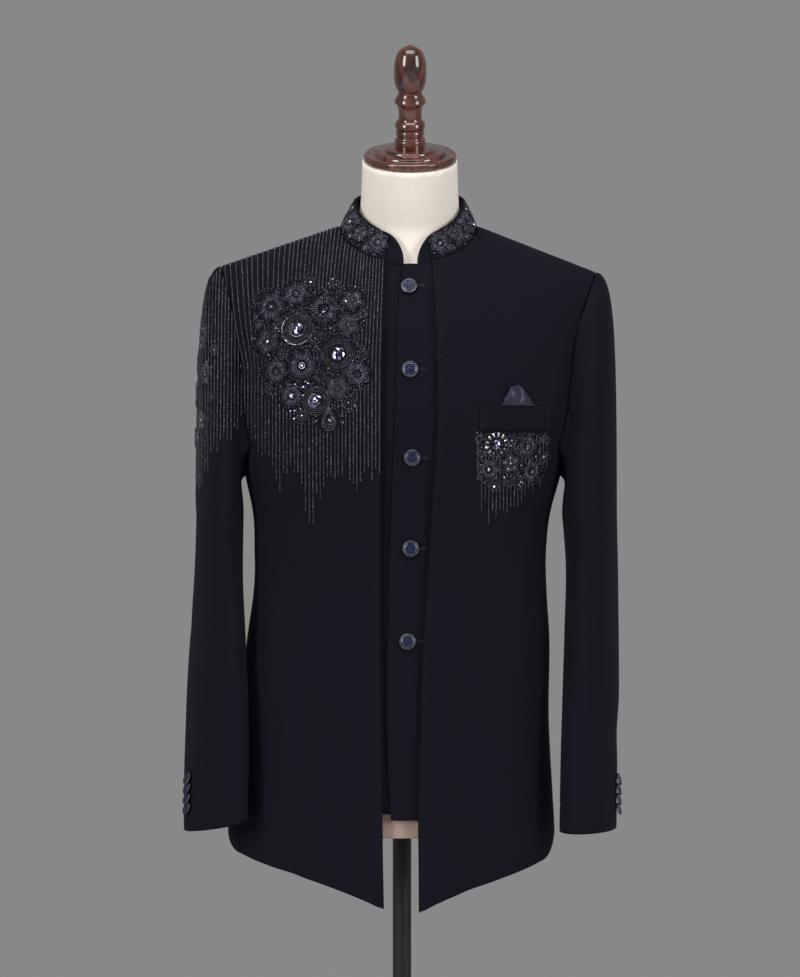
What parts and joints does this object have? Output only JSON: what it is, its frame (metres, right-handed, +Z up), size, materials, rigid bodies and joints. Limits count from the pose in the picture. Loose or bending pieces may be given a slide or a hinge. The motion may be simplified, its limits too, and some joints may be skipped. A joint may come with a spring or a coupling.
{
  "type": "bandhgala jacket on a dress form stand",
  "caption": "Open-front bandhgala jacket with a buttoned inner front, worn on a limbless dress form with a turned neck cap and a round foot.",
  "frame": {"origin": "centre of the underside of the stand's round foot, on the pole's axis", "axes": "+Z up, the jacket faces -Y, +X is towards the wearer's left"},
  "size_m": [0.5035, 0.37, 1.6535],
  "materials": {
    "suiting": "midnight navy suiting, matt",
    "inner_suiting": "midnight navy suiting, matt",
    "satin": "dark blue satin",
    "button_metal": "engraved metal rim with a dark blue centre",
    "stone": "faceted dark blue stone",
    "linen": "cream linen",
    "rosewood": "lacquered dark red wood",
    "black_metal": "black, half gloss"
  },
  "bodies": {
    "root": {"outer_front_left": "suiting", "outer_front_right": "suiting", "side_panel_left": "suiting", "side_panel_right": "suiting", "back_left": "suiting", "back_right": "suiting", "sleeve_upper_left": "suiting", "sleeve_upper_right": "suiting", "sleeve_under_left": "suiting", "sleeve_under_right": "suiting", "collar_outer": "suiting", "collar_inner": "inner_suiting", "inner_front_left": "inner_suiting", "inner_front_right": "inner_suiting", "pocket_welt": "suiting", "pocket_square": "satin", "front_button_1": "button_metal", "front_button_2": "button_metal", "front_button_3": "button_metal", "front_button_4": "button_metal", "front_button_5": "button_metal", "cuff_button_left_1": "button_metal", "cuff_button_left_2": "button_metal", "cuff_button_left_3": "button_metal", "cuff_button_left_4": "button_metal", "cuff_button_right_1": "button_metal", "cuff_button_right_2": "button_metal", "cuff_button_right_3": "button_metal", "cuff_button_right_4": "button_metal", "stone_chest_upper": "stone", "stone_chest_middle": "stone", "stone_chest_lower": "stone", "stone_pocket": "stone", "form_torso": "linen", "neck_cap": "rosewood", "finial": "rosewood", "pole": "black_metal", "pole_socket": "black_metal", "base_plate": "black_metal"}
  },
  "joints": []
}
